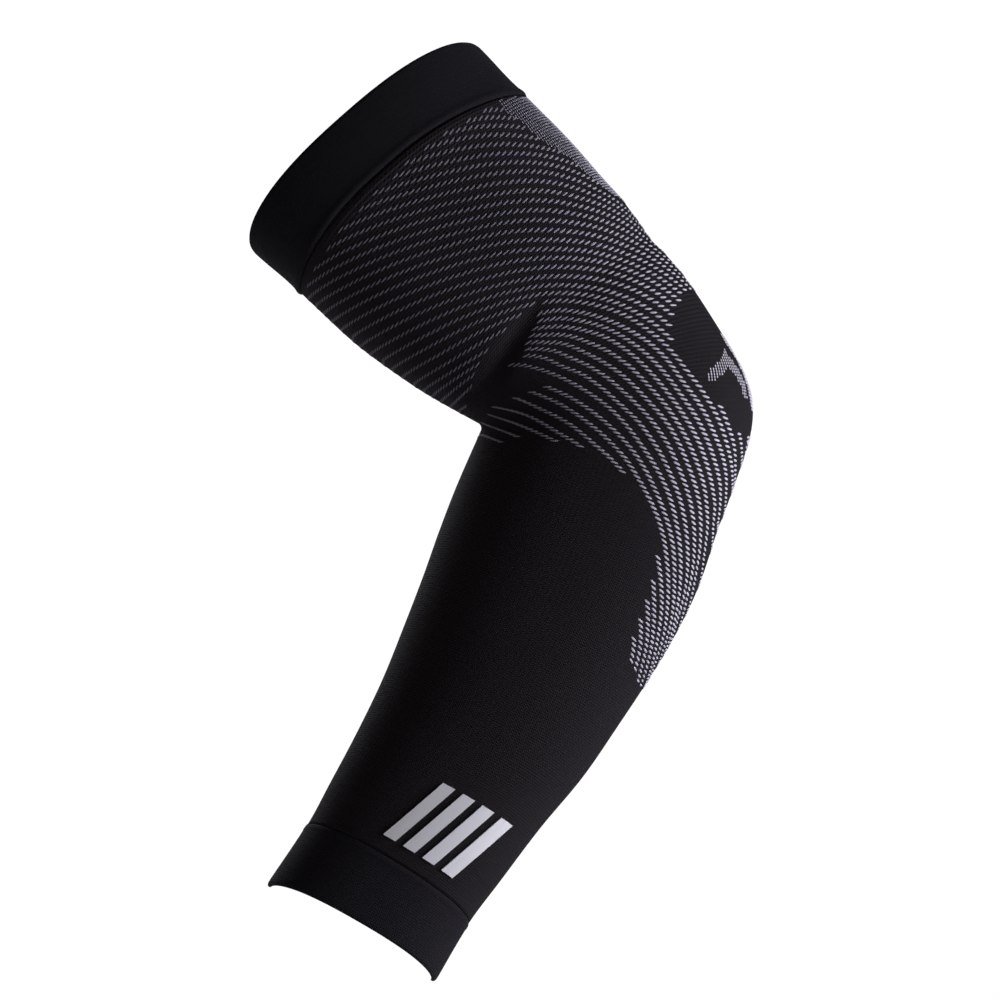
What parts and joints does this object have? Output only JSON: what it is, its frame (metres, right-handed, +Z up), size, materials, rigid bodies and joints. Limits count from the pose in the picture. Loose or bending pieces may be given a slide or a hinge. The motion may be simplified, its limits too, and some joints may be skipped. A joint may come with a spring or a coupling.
{
  "type": "arm compression sleeve",
  "caption": "Knitted compression sleeve for the arm and elbow, a bent open tube with a wide top welt, light dash stitches round the elbow and a wrist hem.",
  "frame": {"origin": "middle of the elbow, inside the sleeve, where the arm's joint sits", "axes": "+Z up towards the upper arm's end, +X from the crook towards the tip of the elbow, Y is the depth of the sleeve"},
  "size_m": [0.2003, 0.0988, 0.374],
  "materials": {
    "welt_knit": "black doubled rib knit of nylon and elastane, matt",
    "sleeve_knit": "black circular knit of nylon and elastane with light grey dash stitches, matt",
    "hem_knit": "black turned knit hem, matt",
    "print_film": "white heat transfer film, satin"
  },
  "bodies": {
    "root": {"upper_cuff": "welt_knit", "sleeve_body": "sleeve_knit", "wrist_hem": "hem_knit", "print_bar_1": "print_film", "print_bar_2": "print_film", "print_bar_3": "print_film", "print_bar_4": "print_film"}
  },
  "joints": []
}
